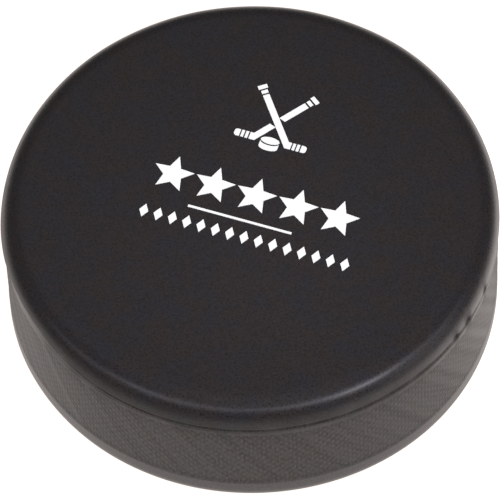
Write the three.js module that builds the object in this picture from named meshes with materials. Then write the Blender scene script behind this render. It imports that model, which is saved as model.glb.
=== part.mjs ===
// An ice hockey puck: one solid disc of vulcanised rubber with a generic white print on its top face.
// Millimetres, +Z up. The origin is the centre of the flat base, so the puck stands on z = 0.
// Every island of ink is a separate thin solid that lies on the top face.

import * as THREE from "three";

// ---- driving dimensions -------------------------------------------------------------------------

const PUCK_DIAMETER = 76.2; // 3 inches, over the shoulder
const PUCK_HEIGHT = 25.4; // 1 inch, over the two flat faces
const TOP_CORNER = 4.1; // radius between the top face and the shoulder
const BASE_CORNER = 3.1; // radius between the base and the side
const SIDE_STEP = 0.15; // how far the side lies inside the shoulder
const PARTING_HEIGHT = 21.0; // middle of the parting line that the two mould halves leave
const PARTING_WIDTH = 0.6;
const PARTING_DEPTH = 0.3;
const KNURL_BOTTOM = 5.0; // the knurled band runs from here up to the parting line
const KNURL_RELIEF = 0.1; // mean depth of the knurled band under the smooth lands
const UPPER_LAND = 0.3; // smooth strip between the knurl and the parting line

const INK_THICKNESS = 0.1;
const PRINT_TILT = THREE.MathUtils.degToRad(-20.5); // the print is turned clockwise, seen from above
const CLEAR_BORDER = 23; // outside this radius the top face carries no ink

const BODY_SEGMENTS = 96;
const CORNER_STEPS = 6;
const ICON_STEPS = 24;
const TOE_STEPS = 5;

// ---- materials ----------------------------------------------------------------------------------

const rubber = new THREE.MeshStandardMaterial({ color: 0x2b2829, roughness: 0.6, metalness: 0 });
const ink = new THREE.MeshStandardMaterial({ color: 0xf4f4f2, roughness: 0.5, metalness: 0 });

const puck = new THREE.Group();

function addMesh(parent, name, geometry, material) {
  const mesh = new THREE.Mesh(geometry, material);
  mesh.name = name;
  parent.add(mesh);
  return mesh;
}

// ---- the rubber body ----------------------------------------------------------------------------

// Points of a quarter circle about (r, z), from one angle to another, both in radians.
function cornerArc(r, z, radius, from, to) {
  return Array.from({ length: CORNER_STEPS + 1 }, (_, i) => {
    const angle = from + ((to - from) * i) / CORNER_STEPS;
    return new THREE.Vector2(r + radius * Math.cos(angle), z + radius * Math.sin(angle));
  });
}

// The half outline of the body, from the middle of the base up to the middle of the top face.
function bodyOutline() {
  const shoulder = PUCK_DIAMETER / 2;
  const side = shoulder - SIDE_STEP;
  const knurl = side - KNURL_RELIEF;
  const groove = side - PARTING_DEPTH;
  const grooveBottom = PARTING_HEIGHT - PARTING_WIDTH / 2;
  const quarter = Math.PI / 2;
  return [
    new THREE.Vector2(0, 0),
    ...cornerArc(side - BASE_CORNER, BASE_CORNER, BASE_CORNER, -quarter, 0),
    new THREE.Vector2(side, KNURL_BOTTOM),
    new THREE.Vector2(knurl, KNURL_BOTTOM + KNURL_RELIEF),
    new THREE.Vector2(knurl, grooveBottom - UPPER_LAND - KNURL_RELIEF),
    new THREE.Vector2(side, grooveBottom - UPPER_LAND),
    new THREE.Vector2(side, grooveBottom),
    new THREE.Vector2(groove, PARTING_HEIGHT),
    ...cornerArc(shoulder - TOP_CORNER, PUCK_HEIGHT - TOP_CORNER, TOP_CORNER, 0, quarter),
    new THREE.Vector2(CLEAR_BORDER, PUCK_HEIGHT),
    new THREE.Vector2(0, PUCK_HEIGHT),
  ];
}

function turnedSolid(outline) {
  const geometry = new THREE.LatheGeometry(outline, BODY_SEGMENTS);
  geometry.rotateX(Math.PI / 2); // LatheGeometry turns about Y
  return geometry;
}

addMesh(puck, "puck_body", turnedSolid(bodyOutline()), rubber);

// ---- the print ----------------------------------------------------------------------------------
// It is laid out in lines about the puck's axis: a crossed-sticks emblem at the back, then a row of
// stars, a thin rule and a row of small lozenges. The group turns the whole layout clockwise.

const print = new THREE.Group();
print.position.z = PUCK_HEIGHT;
print.rotation.z = PRINT_TILT;
puck.add(print);

// One island of ink, from the points of its outline.
function addInk(parent, name, points) {
  const shape = new THREE.Shape(points.map(([x, y]) => new THREE.Vector2(x, y)));
  const options = { depth: INK_THICKNESS, bevelEnabled: false, steps: 1 };
  return addMesh(parent, name, new THREE.ExtrudeGeometry(shape, options), ink);
}

// Points of an arc of an ellipse about (x, y), from one angle to another in degrees.
function arcPoints(x, y, radiusX, radiusY, from, to, steps) {
  return Array.from({ length: steps + 1 }, (_, i) => {
    const angle = THREE.MathUtils.degToRad(from + ((to - from) * i) / steps);
    return [x + radiusX * Math.cos(angle), y + radiusY * Math.sin(angle)];
  });
}

function box(left, bottom, right, top) {
  return [[left, bottom], [right, bottom], [right, top], [left, top]];
}

// ---- the emblem: two crossed sticks over a small puck ----
// A stick is drawn with its blade to the right and its shaft up and to the left, from a heel point
// on the shaft's middle line. The other stick is its mirror image.

const EMBLEM_CENTRE = [-0.5, 14.5];
const STICK_HEEL = [2.6, -3.1];
const SHAFT_ANGLE = THREE.MathUtils.degToRad(127);
const SHAFT_WIDTH = 1.05;
const SHAFT_TOP = 9.8; // distances along the shaft are measured from the heel point
const GRIP_BAND = [10.1, 10.7];
const KNOB = [11.0, 11.7];
const KNOB_WIDTH = 1.5;
const BLADE_TOP = 0.6; // heights of the blade's edges over and under the heel point
const BLADE_BOTTOM = -0.65;
const BLADE_BARE_END = 0.75; // where the bare part of the blade ends and its tape begins
const TAPE_BANDS = 3;
const TAPE_BAND_WIDTH = 0.45;
const TAPE_GAP = 0.22;
const TOE_RADIUS = 0.45;
const CROSSING_GAP = 0.32; // between the front stick and the cut ends of the back one

const emblem = new THREE.Group();
emblem.position.set(...EMBLEM_CENTRE, 0);
print.add(emblem);

const shaftHalf = SHAFT_WIDTH / 2;
const along = [Math.cos(SHAFT_ANGLE), Math.sin(SHAFT_ANGLE)];
const across = [Math.sin(SHAFT_ANGLE), -Math.cos(SHAFT_ANGLE)];

// The point at a distance along the shaft and an offset to the right of its middle line.
function onShaft(distance, offset) {
  return [0, 1].map((i) => along[i] * distance + across[i] * offset);
}

// How far along the shaft its edge at an offset reaches a height.
function distanceAtHeight(height, offset) {
  return (height - across[1] * offset) / along[1];
}

// A square-ended stretch of the shaft.
function shaftPiece(from, to, width) {
  const edge = width / 2;
  return [onShaft(from, edge), onShaft(to, edge), onShaft(to, -edge), onShaft(from, -edge)];
}

// The shaft's lower part with the bare part of the blade. The distances along the shaft of the two
// corners of its upper end differ where that end is cut aslant.
function heelPiece(rightTop, leftTop) {
  return [
    onShaft(distanceAtHeight(BLADE_BOTTOM, -shaftHalf), -shaftHalf),
    [BLADE_BARE_END, BLADE_BOTTOM],
    [BLADE_BARE_END, BLADE_TOP],
    onShaft(distanceAtHeight(BLADE_TOP, shaftHalf), shaftHalf),
    onShaft(rightTop, shaftHalf),
    onShaft(leftTop, -shaftHalf),
  ];
}

// A band of tape on the blade. The last one ends in the blade's round toe.
function tapeBand(index) {
  const left = BLADE_BARE_END + TAPE_GAP + index * (TAPE_BAND_WIDTH + TAPE_GAP);
  const right = left + TAPE_BAND_WIDTH;
  if (index < TAPE_BANDS - 1) return box(left, BLADE_BOTTOM, right, BLADE_TOP);
  const lower = BLADE_BOTTOM + TOE_RADIUS;
  const upper = BLADE_TOP - TOE_RADIUS;
  return [
    [left, BLADE_BOTTOM],
    ...arcPoints(right, lower, TOE_RADIUS, TOE_RADIUS, -90, 0, TOE_STEPS),
    ...arcPoints(right, upper, TOE_RADIUS, TOE_RADIUS, 0, 90, TOE_STEPS),
    [left, BLADE_TOP],
  ];
}

// Moves a stick's outline to its heel, mirrored for the stick whose blade points left.
function placed(points, sign) {
  return points.map(([x, y]) => [sign * (x + STICK_HEEL[0]), y + STICK_HEEL[1]]);
}

// Where the two sticks cross, measured along the back stick's edge at an offset. The ends of its cut
// run parallel to the front stick, at a clearance from that one's middle line.
function crossingAt(offset, clearance) {
  const middle = STICK_HEEL[0] / -along[0];
  const turn = 2 * SHAFT_ANGLE - Math.PI; // angle between the two shafts
  return middle + clearance / Math.sin(turn) - offset / Math.tan(turn);
}

function addStick(name, sign, shafts) {
  for (const [part, outline] of Object.entries(shafts)) {
    addInk(emblem, `${name}_${part}`, placed(outline, sign));
  }
  addInk(emblem, `${name}_grip_band`, placed(shaftPiece(...GRIP_BAND, SHAFT_WIDTH), sign));
  addInk(emblem, `${name}_knob`, placed(shaftPiece(...KNOB, KNOB_WIDTH), sign));
  for (let i = 0; i < TAPE_BANDS; i++) {
    addInk(emblem, `${name}_tape_${i + 1}`, placed(tapeBand(i), sign));
  }
}

const cut = shaftHalf + CROSSING_GAP;
addStick("print_front_stick", 1, { shaft: heelPiece(SHAFT_TOP, SHAFT_TOP) });
addStick("print_back_stick", -1, {
  shaft_lower: heelPiece(crossingAt(shaftHalf, -cut), crossingAt(-shaftHalf, -cut)),
  shaft_upper: [
    onShaft(crossingAt(shaftHalf, cut), shaftHalf),
    onShaft(SHAFT_TOP, shaftHalf),
    onShaft(SHAFT_TOP, -shaftHalf),
    onShaft(crossingAt(-shaftHalf, cut), -shaftHalf),
  ],
});

// A small puck between the blades, seen a little from above: its face, and its side under that.
const ICON_CENTRE = [0, -3.15];
const ICON_RADIUS = [1.5, 0.62];
const ICON_SIDE_GAP = 0.26;
const ICON_SIDE_HEIGHT = 0.95;

function iconSide() {
  const [x, y] = ICON_CENTRE;
  const upper = y - ICON_SIDE_GAP;
  const lower = upper - ICON_SIDE_HEIGHT;
  return [
    ...arcPoints(x, lower, ...ICON_RADIUS, 180, 360, ICON_STEPS / 2),
    ...arcPoints(x, upper, ...ICON_RADIUS, 360, 180, ICON_STEPS / 2),
  ];
}

const iconFace = arcPoints(...ICON_CENTRE, ...ICON_RADIUS, 0, 360, ICON_STEPS).slice(0, -1);
addInk(emblem, "print_puck_face", iconFace);
addInk(emblem, "print_puck_side", iconSide());

// ---- the lines of print under the emblem ----

const STAR_ROW = { count: 5, centre: [0.55, 1.1], pitch: 6.65, radius: 3.3, waist: 1.5 };
const RULE = [-8.7, -3.85, 7.9, -3.45]; // left, bottom, right and top
const LOZENGE_ROW = { count: 15, centre: [1.25, -6.5], pitch: 2.3, halfWidth: 0.72, halfHeight: 1.2 };

// Adds equal shapes side by side. The outline is drawn about its own middle.
function addRow(name, row, outline) {
  for (let i = 0; i < row.count; i++) {
    const x = row.centre[0] + (i - (row.count - 1) / 2) * row.pitch;
    const points = outline.map(([u, v]) => [x + u, row.centre[1] + v]);
    addInk(print, `${name}_${i + 1}`, points);
  }
}

// A five-pointed star with one point up.
function star(radius, waist) {
  return Array.from({ length: 10 }, (_, i) => {
    const angle = Math.PI / 2 + (i * Math.PI) / 5;
    const reach = i % 2 ? waist : radius;
    return [reach * Math.cos(angle), reach * Math.sin(angle)];
  });
}

function lozenge(halfWidth, halfHeight) {
  return [[halfWidth, 0], [0, halfHeight], [-halfWidth, 0], [0, -halfHeight]];
}

addRow("print_star", STAR_ROW, star(STAR_ROW.radius, STAR_ROW.waist));
addInk(print, "print_rule", box(...RULE));
addRow("print_lozenge", LOZENGE_ROW, lozenge(LOZENGE_ROW.halfWidth, LOZENGE_ROW.halfHeight));

export default puck;
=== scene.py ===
"""An ice hockey puck lying on a pale light table, seen from above its front edge."""

import math

import bpy
import numpy as np
from mathutils import Matrix, Vector


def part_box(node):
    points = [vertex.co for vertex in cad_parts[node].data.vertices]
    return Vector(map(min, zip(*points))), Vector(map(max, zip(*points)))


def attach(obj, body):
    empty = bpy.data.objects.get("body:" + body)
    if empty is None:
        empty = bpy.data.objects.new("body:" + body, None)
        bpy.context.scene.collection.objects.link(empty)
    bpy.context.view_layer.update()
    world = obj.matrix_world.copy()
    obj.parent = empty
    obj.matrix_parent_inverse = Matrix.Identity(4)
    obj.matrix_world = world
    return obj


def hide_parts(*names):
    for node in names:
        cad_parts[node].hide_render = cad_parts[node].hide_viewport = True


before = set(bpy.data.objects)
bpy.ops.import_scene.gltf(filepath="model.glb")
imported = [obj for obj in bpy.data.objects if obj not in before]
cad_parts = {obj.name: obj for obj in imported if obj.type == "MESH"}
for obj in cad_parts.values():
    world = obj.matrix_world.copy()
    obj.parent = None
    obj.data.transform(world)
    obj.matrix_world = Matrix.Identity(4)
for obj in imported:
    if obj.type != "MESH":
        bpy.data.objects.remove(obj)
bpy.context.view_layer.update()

MM = 0.001

# ---- driving dimensions --------------------------------------------------------------------------
# In millimetres. Directions round the puck are in degrees from +X towards +Y, and so are the half
# widths of what lies in a direction.

_, body_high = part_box("puck_body")
SHOULDER = body_high.x / MM  # outer radius, where the top corner starts
HEIGHT = body_high.z / MM
SIDE = SHOULDER - 0.15  # radius of the smooth lands and of the knurl's crests
TOP_CORNER = 4.1
BASE_CORNER = 3.1

# Where each half of the mould left the puck out of round: direction, half width and bulge.
LOWER_BULGES = ((-42.0, 34.0, 0.3), (197.0, 9.0, 0.06))
UPPER_BULGES = ((47.0, 15.0, 0.17), (190.0, 20.0, 0.2))
LOWER, UPPER = 1, -1  # the two halves of the mould

PARTING_HEIGHT = 20.96
PARTING_HALF_WIDTH = 0.46
PARTING_DEPTH = 0.15
PARTING_STRAY = 0.04  # how far the line strays up and down
PARTING_UNEVEN = 0.25  # how much its width and depth vary, as a share of them
# Where the line runs higher: direction, half width and rise.
CLIMBS = ((208.0, 22.0, 0.95),)
# Where flash all but fills the groove: direction, half width and the share it fills.
FLASH = ((-22.0, 28.0, 0.95), (200.0, 18.0, 0.8))
# Where the flash was trimmed too deep: direction, half width and strength.
PITS = (
    (-22.8, 0.8, 0.8),
    (-32.0, 1.0, 1.0),
    (-37.2, 0.8, 0.7),
    (38.0, 0.8, 0.7),
    (112.0, 1.1, 0.8),
    (171.0, 0.7, 0.6),
)
PIT_RISE, PIT_HALF_WIDTH, PIT_DEPTH = 0.35, 0.4, 0.3  # what a pit of strength 1 adds to the groove

KNURL_LOW, KNURL_HIGH = 5.0, 20.2  # the band between the two smooth lands
KNURL_RUN_OUT = 0.15  # height of the strip without ridges at each end of the band
KNURL_FADE = 1.2  # over this height at each end the relief grows from nothing
KNURL_DEPTH = 0.12  # from the valleys to the crests, which lie level with the lands
KNURLS_AROUND = 180
KNURL_HALF_ROWS = 21  # rows of ridges, counting the offset ones
KNURL_STEPS = 6  # vertices along each pitch, so three along each half pitch
KNURL_RIDGE = 0.14  # half width of a ridge, as a share of the pitch
KNURL_SWING = 0.3  # how far a ridge's height swings along it, either way of a half
KNURL_SHADE = 0.5  # how much painted shade darkens and dulls its valleys, from 0 to 1
KNURL_LEAN = 0.004  # radians by which its worn patches shift from one row to the next

FINE = KNURLS_AROUND * KNURL_STEPS  # columns of vertices round the knurl and the parting line
COARSE = FINE // 3  # columns round the smooth parts

CAMERA_ELEVATION = math.radians(57.66)
CAMERA_ROLL = math.radians(2.29)
CAMERA_DISTANCE = 0.9  # in metres
CAMERA_LENS = 419.6
CAMERA_AIM = Vector((-0.264, 0.0, HEIGHT / 2 - 1.2)) * MM


# ---- small helpers -------------------------------------------------------------------------------


def angles(columns):
    return np.arange(columns) * 2 * np.pi / columns


def wander(angle, seed, waves):
    """A smooth random value round the circle, mostly between -1 and 1, that closes on itself."""
    rng = np.random.default_rng(seed)
    total = 0.0
    for n in waves:
        total = total + rng.uniform(0.5, 1.0) * np.cos(n * angle + rng.uniform(0, 2 * np.pi))
    return total / math.sqrt(len(waves))


def spot(angle, centre, half_width):
    """A soft bump round one direction, 1 at its middle. The centre and width are in degrees."""
    away = np.degrees(angle) - centre
    away = (away + 180) % 360 - 180
    return np.exp(-((away / half_width) ** 2))


def spots(angle, table):
    """The sum of the soft bumps in a table of directions, half widths and sizes."""
    return sum(size * spot(angle, centre, half_width) for centre, half_width, size in table)


# ---- the rubber body's rings ---------------------------------------------------------------------
# The body is a stack of rings of vertices, from the middle of the base to the middle of the top.


def ring(radius, height, columns, half, crest=1.0):
    """One ring: its vertices in millimetres, and its crest value, 0 to 1; below 1, painted shade
    darkens the colour and weakens the gloss there.

    The half of the mould that shaped it is LOWER, UPPER or a value between them.
    """
    angle = angles(columns)
    lower_swell = (1 + half) / 2 * spots(angle, LOWER_BULGES)
    upper_swell = (1 - half) / 2 * spots(angle, UPPER_BULGES)
    radius = radius + (lower_swell + upper_swell) * np.minimum(1, radius / SHOULDER) ** 4
    x = radius * np.cos(angle)
    y = radius * np.sin(angle)
    z = np.broadcast_to(height, (columns,))
    return np.stack([x, y, z], axis=1), np.broadcast_to(crest, (columns,))


def base_rings():
    """The flat base, its rounded corner and the smooth land over that."""
    flat = SIDE - BASE_CORNER
    rings = [ring(flat * share, 0.0, COARSE, LOWER) for share in (0.25, 0.5, 0.75, 0.97)]
    for step in np.linspace(0, 1, 13):
        turn = step * math.pi / 2
        radius = flat + BASE_CORNER * math.sin(turn)
        height = BASE_CORNER * (1 - math.cos(turn))
        rings.append(ring(radius, height, COARSE, LOWER))
    rings.append(ring(SIDE, (BASE_CORNER + KNURL_LOW) / 2, COARSE, LOWER))
    rings.append(ring(SIDE, KNURL_LOW - KNURL_RUN_OUT, COARSE, LOWER))
    return rings


def knurl_rings():
    """The knurled band: two interleaved grids of short upright ridges with soft ends."""
    angle = angles(FINE)
    rows = KNURL_HALF_ROWS * KNURL_STEPS // 2
    low = KNURL_LOW + KNURL_RUN_OUT
    high = KNURL_HIGH - KNURL_RUN_OUT
    across = np.arange(FINE) / KNURL_STEPS
    aside = [abs(across + lag - np.round(across + lag)) for lag in (0.0, 0.5)]
    ridges = [np.exp(-((away / KNURL_RIDGE) ** 2)) for away in aside]
    worn = 0.85 + 0.1 * wander(angle, 11, (1, 2, 5, 11, 23))
    # Painted shade spreads down from the parting line where its groove is deep.
    painted_shade = np.clip(0.75 + 0.25 * wander(angle, 24, (4, 9, 19, 37)), 0.3, 1)
    shade_below_groove = painted_shade * groove_shape(angle)[3]
    rings = [ring(SIDE, KNURL_LOW, FINE, LOWER)]
    for row in range(rows + 1):
        height = low + (high - low) * row / rows
        grown = min(1.0, (height - KNURL_LOW) / KNURL_FADE, (KNURL_HIGH - height) / KNURL_FADE)
        grown *= grown * (3 - 2 * grown)
        swing = KNURL_SWING * math.cos(2 * math.pi * row / KNURL_STEPS)
        raised = ridges[0] * (0.5 + swing) + ridges[1] * (0.5 - swing)
        patches = wander(angle + KNURL_LEAN * row, 12, (9, 31, 47, 68, 97))
        patchy = np.clip(0.85 + 0.25 * patches, 0.4, 1.1)
        radius = SIDE + KNURL_DEPTH * (raised * worn * patchy - 1) * grown
        # Painted shade: the valleys and the strip just under the parting line get a lower crest
        # value.
        dull = KNURL_SHADE * grown * patchy * (1 - raised) + shade_below_groove * math.exp(height - KNURL_HIGH)
        rings.append(ring(radius, height, FINE, LOWER, np.clip(1 - dull, 0, 1)))
    rings.append(ring(SIDE, KNURL_HIGH, FINE, LOWER, 1 - shade_below_groove))
    return rings


def groove_shape(angle):
    """The parting groove round the puck: its middle's height, half width, depth and painted shade,
    which follows the depth.
    """
    pits = spots(angle, PITS)
    stray = PARTING_STRAY * wander(angle, 22, (2, 5, 9, 17, 33))
    middle = PARTING_HEIGHT + spots(angle, CLIMBS) + stray + PIT_RISE * pits
    uneven_width = 1 + PARTING_UNEVEN * wander(angle, 21, (3, 7, 13, 29, 53, 81))
    half_width = PARTING_HALF_WIDTH * uneven_width + PIT_HALF_WIDTH * pits
    uneven_depth = 1 + PARTING_UNEVEN * wander(angle, 23, (2, 3, 6, 15, 41))
    depth = PARTING_DEPTH * (1 - spots(angle, FLASH)) * uneven_depth + PIT_DEPTH * pits
    return middle, half_width, depth, np.clip(depth / PARTING_DEPTH, 0, 1)


def corner_start(angle):
    """How far round the top corner's arc the upper lip of the groove lies, in radians."""
    middle, half_width, _, _ = groove_shape(angle)
    rise = (middle + half_width - HEIGHT + TOP_CORNER) / TOP_CORNER
    return np.arcsin(np.clip(rise, 0, 0.4))


def parting_rings():
    """The uneven groove where the two halves of the mould met, up to its upper lip."""
    angle = angles(FINE)
    middle, half_width, depth, groove_shade = groove_shape(angle)
    upper = SHOULDER - TOP_CORNER * (1 - np.cos(corner_start(angle)))
    section = (  # place from the lower lip at -1 to the upper at 1, share of the depth, share of painted shade
        (-1.0, 0.0, 0.3),
        (-0.8, 0.15, 0.45),
        (-0.5, 0.5, 0.65),
        (-0.15, 0.85, 0.75),
        (0.2, 1.0, 0.8),
        (0.5, 0.95, 0.8),
        (0.75, 0.7, 0.6),
        (0.92, 0.25, 0.15),
    )
    rings = []
    for across, hollow, painted_shade in section:
        rise = (across + 1) / 2
        radius = SIDE + (upper - SIDE) * rise * rise - depth * hollow
        height = middle + half_width * across
        half = LOWER + (UPPER - LOWER) * rise
        rings.append(ring(radius, height, FINE, half, 1 - painted_shade * groove_shade))
    return rings


def top_rings():
    """The rounded corner over the groove, and the flat top face."""
    angle = angles(COARSE)
    groove_shade = groove_shape(angle)[3]
    uneven = 0.035 * wander(angle, 31, (2, 3, 5, 8, 13))
    flat = SHOULDER - TOP_CORNER
    start = corner_start(angle)
    rings = []
    for step in (0.0, 0.02, *np.linspace(0, 1, 19)[1:]):
        turn = start + (math.pi / 2 - start) * step
        reach = TOP_CORNER + uneven * np.sin(2 * turn) ** 2 * min(1.0, 5 * step)
        radius = flat + reach * np.cos(turn)
        height = HEIGHT - TOP_CORNER + reach * np.sin(turn)
        painted_shade = max(0.0, 0.85 - 2.2 * step)  # painted shade on the corner over the groove, thinning out on the way up
        rings.append(ring(radius, height, COARSE, UPPER, 1 - groove_shade * painted_shade))
    for share in (0.98, 0.75, 0.5, 0.25):
        half = LOWER + (UPPER - LOWER) * min(1, share + 0.02)
        rings.append(ring(flat * share, HEIGHT, COARSE, half))
    return rings


# ---- the faces between the rings -----------------------------------------------------------------

BASE, KNURL, PARTING, TOP = range(4)  # the bands of rings, from the bottom up
FACES_SLOT, SIDE_SLOT = range(2)  # the body's two materials


def strip_between(lower, upper):
    """Faces of the band between two rings of vertex numbers, which run the same way round.

    The rings have as many vertices as each other, or one has three times as many.
    """
    if len(lower) == len(upper):
        ahead_low, ahead_up = np.roll(lower, -1), np.roll(upper, -1)
        return np.stack([lower, ahead_low, ahead_up, upper], axis=1).tolist()
    fine, coarse = (lower, upper) if len(lower) > len(upper) else (upper, lower)
    first, second, third = fine[0::3], fine[1::3], fine[2::3]
    last, ahead = np.roll(first, -1), np.roll(coarse, -1)
    faces = np.stack([first, second, coarse], axis=1).tolist()
    faces += np.stack([second, third, ahead, coarse], axis=1).tolist()
    faces += np.stack([third, last, ahead], axis=1).tolist()
    return faces if fine is lower else [face[::-1] for face in faces]


def diamond_strip(lower, upper, low_crest, up_crest):
    """Like strip_between, in triangles whose long edges follow the knurl's grooves and ridges."""
    ahead_low, ahead_up = np.roll(lower, -1), np.roll(upper, -1)
    falling = abs(np.roll(low_crest, -1) - up_crest)
    rising = abs(low_crest - np.roll(up_crest, -1))
    falls = (falling < rising)[:, None]
    one = np.where(falls, np.stack([lower, ahead_low, upper], 1),
                   np.stack([lower, ahead_low, ahead_up], 1))
    two = np.where(falls, np.stack([ahead_low, ahead_up, upper], 1),
                   np.stack([lower, ahead_up, upper], 1))
    return one.tolist() + two.tolist()


def build_body():
    """The whole rubber body as one closed mesh. Faces between the lands get the side's material."""
    groups = {
        BASE: base_rings(),
        KNURL: knurl_rings(),
        PARTING: parting_rings(),
        TOP: top_rings(),
    }
    points, crests, numbers, bands = [np.array([[0.0, 0.0, 0.0]])], [np.ones(1)], [], []
    count = 1
    for band, rings in groups.items():
        for vertices, crest in rings:
            numbers.append(count + np.arange(len(vertices)))
            points.append(vertices)
            crests.append(crest)
            bands.append(band)
            count += len(vertices)
    points.append(np.array([[0.0, 0.0, HEIGHT]]))
    crests.append(np.ones(1))

    first, last = numbers[0], numbers[-1]
    faces = np.stack([np.zeros_like(first), np.roll(first, -1), first], axis=1).tolist()
    slots = [FACES_SLOT] * len(faces)
    for i in range(len(numbers) - 1):
        pair = {bands[i], bands[i + 1]}
        if pair == {KNURL}:
            strip = diamond_strip(numbers[i], numbers[i + 1], crests[i + 1], crests[i + 2])
        else:
            strip = strip_between(numbers[i], numbers[i + 1])
        faces += strip
        slots += [SIDE_SLOT if pair <= {KNURL, PARTING} else FACES_SLOT] * len(strip)
    faces += np.stack([last, np.roll(last, -1), np.full_like(last, count)], axis=1).tolist()
    slots += [FACES_SLOT] * len(last)

    mesh = bpy.data.meshes.new("puck_rubber")
    mesh.from_pydata((np.concatenate(points) * MM).tolist(), [], faces)
    mesh.polygons.foreach_set("material_index", slots)
    mesh.polygons.foreach_set("use_smooth", [True] * len(faces))
    crest = mesh.attributes.new("crest", "FLOAT", "POINT")
    crest.data.foreach_set("value", np.concatenate(crests).astype(np.float32))
    mesh.update()
    body = bpy.data.objects.new("puck_rubber", mesh)
    bpy.context.scene.collection.objects.link(body)
    return body


# ---- shader nodes --------------------------------------------------------------------------------

NOISE_SPAN = (0.3, 0.7)  # nearly all of a noise's values lie in it


def blank_material(name):
    """A material with only a Principled shader in it, its node tree and that shader."""
    material = bpy.data.materials.new(name)
    material.use_nodes = True
    return material, material.node_tree, material.node_tree.nodes["Principled BSDF"]


def node(tree, kind, inputs=None, **settings):
    """Adds a shader node, with its settings, and fills or links its inputs."""
    made = tree.nodes.new(kind)
    for key, value in settings.items():
        setattr(made, key, value)
    for key, value in (inputs or {}).items():
        if isinstance(value, bpy.types.NodeSocket):
            tree.links.new(value, made.inputs[key])
        else:
            made.inputs[key].default_value = value
    return made


def place_on_object(tree):
    return node(tree, "ShaderNodeTexCoord").outputs["Object"]


def noise(tree, place, scale, detail, roughness=0.5):
    return node(tree, "ShaderNodeTexNoise",
                {"Vector": place, "Scale": scale, "Detail": detail,
                 "Roughness": roughness}).outputs[0]


def remap(tree, value, span, onto, **settings):
    """Maps one span of values onto another, and holds the value past its ends."""
    return node(tree, "ShaderNodeMapRange",
                {"Value": value, "From Min": span[0], "From Max": span[1],
                 "To Min": onto[0], "To Max": onto[1]}, **settings).outputs[0]


def calculate(tree, operation, one, two):
    return node(tree, "ShaderNodeMath", {0: one, 1: two}, operation=operation).outputs[0]


def mix_colours(tree, share, one, two, **settings):
    """A mix of two colours. The Mix node's colour sockets are inputs 6 and 7 and output 2."""
    return node(tree, "ShaderNodeMix", {0: share, 6: one, 7: two},
                data_type="RGBA", **settings).outputs[2]


def add_relief(tree, shader, height, distance):
    bump = node(tree, "ShaderNodeBump", {"Height": height, "Strength": 1.0, "Distance": distance})
    tree.links.new(bump.outputs[0], shader.inputs["Normal"])


# ---- materials -----------------------------------------------------------------------------------


def upright_streaks(tree, place):
    """A fine noise drawn out upwards round the puck's side. It meets itself at the back."""
    apart = node(tree, "ShaderNodeSeparateXYZ", {0: place}).outputs
    turn = calculate(tree, "ARCTAN2", apart["X"], calculate(tree, "MULTIPLY", apart["Y"], -1.0))
    arc = calculate(tree, "MULTIPLY", turn, SHOULDER * MM)
    rise = calculate(tree, "MULTIPLY", apart["Z"], 0.35)
    unrolled = node(tree, "ShaderNodeCombineXYZ", {"X": arc, "Z": rise}).outputs[0]
    return noise(tree, unrolled, 2800.0, 2.0)


def rubber_material(name, cool, warm, roughness, specular, grain_height, speckled, grazing,
                    streaks=0.0):
    """Black rubber: cloudy patches, fine grain in colour, gloss and relief, and painted shade where
    the crest value is low.

    Speckled and streaks are shares: how much the grain varies the tone, and how much of the grain
    is drawn out upwards. Grazing is the span of facing values over which the sheen fades away.
    """
    material, tree, shader = blank_material(name)
    place = place_on_object(tree)
    clouds = noise(tree, place, 260.0, 3.0, 0.6)
    grain = noise(tree, place, 3200.0, 2.0, 0.6)
    if streaks:
        drawn = upright_streaks(tree, place)
        grain = node(tree, "ShaderNodeMix", {0: streaks, 2: grain, 3: drawn}).outputs[0]
    speckle = remap(tree, grain, NOISE_SPAN, (1 - speckled, 1 + speckled))
    crest = node(tree, "ShaderNodeAttribute", attribute_name="crest").outputs["Fac"]

    tint = remap(tree, clouds, (0.34, 0.66), (0.0, 1.0))
    hue = mix_colours(tree, tint, (*cool, 1), (*warm, 1))
    # Painted light: the rubber is painted a little paler round this place on the top face, fading
    # away from it.
    painted_light_at = (0.003, -0.014, HEIGHT * MM)
    away = node(tree, "ShaderNodeVectorMath", {0: place, 1: painted_light_at}, operation="DISTANCE")
    painted_light = remap(tree, away.outputs["Value"], (0.0, 0.05), (1.15, 0.85))
    amount = calculate(tree, "MULTIPLY", painted_light, speckle)
    surface = mix_colours(tree, 1.0, hue, amount, blend_type="MULTIPLY")
    # Painted shade: the colour darkens where the crest value is low.
    dusk = remap(tree, crest, (0.0, 0.9), (0.7, 1.0))
    shaded = mix_colours(tree, 1.0, surface, dusk, blend_type="MULTIPLY")
    tree.links.new(shaded, shader.inputs["Base Color"])

    gloss = remap(tree, grain, NOISE_SPAN, (roughness - 0.05, roughness + 0.05))
    dull = remap(tree, crest, (0.0, 1.0), (0.25, 0.0))
    tree.links.new(calculate(tree, "ADD", gloss, dull), shader.inputs["Roughness"])

    # Painted shade in the gloss as well: weaker reflection where the crest value is low.
    sheen = calculate(tree, "MULTIPLY", remap(tree, crest, (0.0, 0.9), (0.22, specular)), speckle)
    # Painted shade along the outline: the gloss fades away at grazing angles.
    facing = node(tree, "ShaderNodeLayerWeight", {"Blend": 0.5}).outputs["Facing"]
    fading = remap(tree, facing, grazing, (1.0, 0.12))
    level = calculate(tree, "MULTIPLY", sheen, fading)
    tree.links.new(level, shader.inputs["Specular IOR Level"])

    add_relief(tree, shader, grain, grain_height * MM)
    return material


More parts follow.
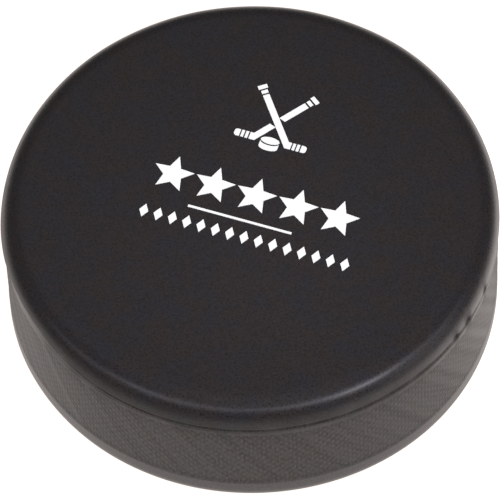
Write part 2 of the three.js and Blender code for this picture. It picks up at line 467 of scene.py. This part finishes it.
def ink_material():
    """Opaque white screen-printed ink, a little uneven over the rubber's grain."""
    material, tree, shader = blank_material("white_ink")
    place = place_on_object(tree)
    film = noise(tree, place, 900.0, 3.0)
    grain = noise(tree, place, 5200.0, 2.0)
    cover = remap(tree, film, NOISE_SPAN, (0.0, 1.0))
    colour = mix_colours(tree, cover, (0.93, 0.93, 0.925, 1), (0.985, 0.985, 0.98, 1))
    tree.links.new(colour, shader.inputs["Base Color"])
    tree.links.new(remap(tree, grain, (0.0, 1.0), (0.38, 0.6)), shader.inputs["Roughness"])
    add_relief(tree, shader, grain, 0.006 * MM)
    return material


# ---- the object's pieces -------------------------------------------------------------------------

body = build_body()
body.data.materials.append(
    rubber_material("rubber_faces", cool=(0.0200, 0.0188, 0.0222), warm=(0.0242, 0.0188, 0.0182),
                    roughness=0.3, specular=0.5, grain_height=0.0008, speckled=0.24,
                    grazing=(0.66, 0.95)))
body.data.materials.append(
    rubber_material("rubber_side", cool=(0.0180, 0.0170, 0.0196), warm=(0.0238, 0.0172, 0.0153),
                    roughness=0.36, specular=0.38, grain_height=0.006, speckled=0.5,
                    grazing=(0.86, 0.98), streaks=0.7))
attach(body, "root")
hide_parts("puck_body")

ink = ink_material()
for name, cad_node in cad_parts.items():
    if name.startswith("print_"):
        cad_node.data.materials.clear()
        cad_node.data.materials.append(ink)


# ---- the light table, the lights and the camera --------------------------------------------------
# In metres and degrees.

TABLE_RADIUS = 8.0
GLOW_COLOUR = (1.12, 1.03, 0.985, 1)
GLOW_FADES, FAR_GLOW = (0.068, 0.15), 0.22  # painted pool of light round the puck: from the first distance to the second the glow falls to this
GLOW_LEANS, RIGHT_GLOW = (0.02, 0.07), 1.56  # painted light, brighter on the right: from the first X to the second the glow rises to this
WORLD_STRENGTH = 0.06

PANELS = (  # name, azimuth, elevation, distance, width, height, radiance, seen in reflections
    ("overhead_fill", 0, 80, 1.5, 1.0, 1.0, 6.5, False),
    ("overhead_back", 180, 62, 1.3, 1.6, 0.9, 0.12, True),
    ("low_right", 64, 14, 1.2, 0.7, 0.5, 0.6, True),
)
# A low arc of strips in front draws the thin highlight along the top corner.
STRIPS = (  # azimuth, elevation, width and radiance
    (-72, 32, 0.5, 1.1),
    (-45, 39.5, 0.42, 3.2),
    (-20, 43, 0.38, 2.4),
    (4, 44, 0.38, 2.0),
    (24, 43, 0.34, 3.2),
    (43, 40, 0.34, 12.0),
    (62, 36, 0.34, 1.9),
    (80, 31, 0.34, 1.2),
)
STRIP_DISTANCE, STRIP_HEIGHT = 1.2, 0.16
STRIP_COLOUR = (0.97, 0.96, 1.07)


def add_floor():
    """A wide round table top of pale acrylic that glows, brightest in a painted pool of light round
    the puck and more so on its right.
    """
    mesh = bpy.data.meshes.new("table_top")
    rim = [(TABLE_RADIUS * math.cos(a), TABLE_RADIUS * math.sin(a), 0.0) for a in angles(96)]
    mesh.from_pydata(rim, [], [list(range(len(rim)))])
    floor = bpy.data.objects.new("table_top", mesh)
    floor.location.z = -0.02 * MM
    bpy.context.scene.collection.objects.link(floor)
    material, tree, shader = blank_material("pale_acrylic")
    shader.inputs["Base Color"].default_value = (0.06, 0.06, 0.06, 1)
    shader.inputs["Roughness"].default_value = 0.8
    shader.inputs["Specular IOR Level"].default_value = 0.0
    shader.inputs["Emission Color"].default_value = GLOW_COLOUR
    place = place_on_object(tree)
    reach = node(tree, "ShaderNodeVectorMath", {0: place}, operation="LENGTH").outputs["Value"]
    glow = remap(tree, reach, GLOW_FADES, (1.0, FAR_GLOW), interpolation_type="SMOOTHSTEP")
    across = node(tree, "ShaderNodeSeparateXYZ", {0: place}).outputs["X"]
    lean = remap(tree, across, GLOW_LEANS, (1.0, RIGHT_GLOW), interpolation_type="SMOOTHSTEP")
    tree.links.new(calculate(tree, "MULTIPLY", glow, lean), shader.inputs["Emission Strength"])
    mesh.materials.append(material)


def add_panel(name, azimuth, elevation, distance, width, height, radiance, mirrored=True,
              colour=(1, 1, 1)):
    """A soft light that faces the puck. Azimuth 0 is the camera's side and 90 is +X."""
    light = bpy.data.lights.new(name, "AREA")
    light.shape = "RECTANGLE"
    light.size, light.size_y = width, height
    light.energy = radiance * math.pi * width * height
    light.color = colour
    panel = bpy.data.objects.new(name, light)
    a, e = math.radians(azimuth), math.radians(elevation)
    towards = Vector((math.sin(a) * math.cos(e), -math.cos(a) * math.cos(e), math.sin(e)))
    panel.location = towards * distance
    panel.rotation_euler = towards.to_track_quat("Z", "Y").to_euler()
    panel.visible_glossy = mirrored
    bpy.context.scene.collection.objects.link(panel)


def add_world():
    world = bpy.data.worlds.new("studio")
    world.use_nodes = True
    background = world.node_tree.nodes["Background"]
    background.inputs["Color"].default_value = (1.0, 1.0, 1.0, 1)
    background.inputs["Strength"].default_value = WORLD_STRENGTH
    bpy.context.scene.world = world


def add_camera():
    """The camera stands in front of the puck and above it, turned a little about its own axis."""
    data = bpy.data.cameras.new("camera")
    data.lens = CAMERA_LENS
    data.clip_start, data.clip_end = 0.01, 50.0
    camera = bpy.data.objects.new("camera", data)
    back = Vector((0.0, -math.cos(CAMERA_ELEVATION), math.sin(CAMERA_ELEVATION)))
    level_right = Vector((1.0, 0.0, 0.0))
    level_up = back.cross(level_right)
    right = level_right * math.cos(CAMERA_ROLL) - level_up * math.sin(CAMERA_ROLL)
    up = back.cross(right)
    turn = Matrix((right, up, back)).transposed()
    camera.matrix_world = Matrix.Translation(CAMERA_AIM + back * CAMERA_DISTANCE) @ turn.to_4x4()
    bpy.context.scene.collection.objects.link(camera)
    bpy.context.scene.camera = camera


add_floor()
add_world()
for panel in PANELS:
    add_panel(*panel)
for number, (azimuth, elevation, width, radiance) in enumerate(STRIPS):
    add_panel(f"strip_{number}", azimuth, elevation, STRIP_DISTANCE, width, STRIP_HEIGHT, radiance,
              colour=STRIP_COLOUR)
add_camera()
bpy.context.scene.view_settings.view_transform = "Standard"
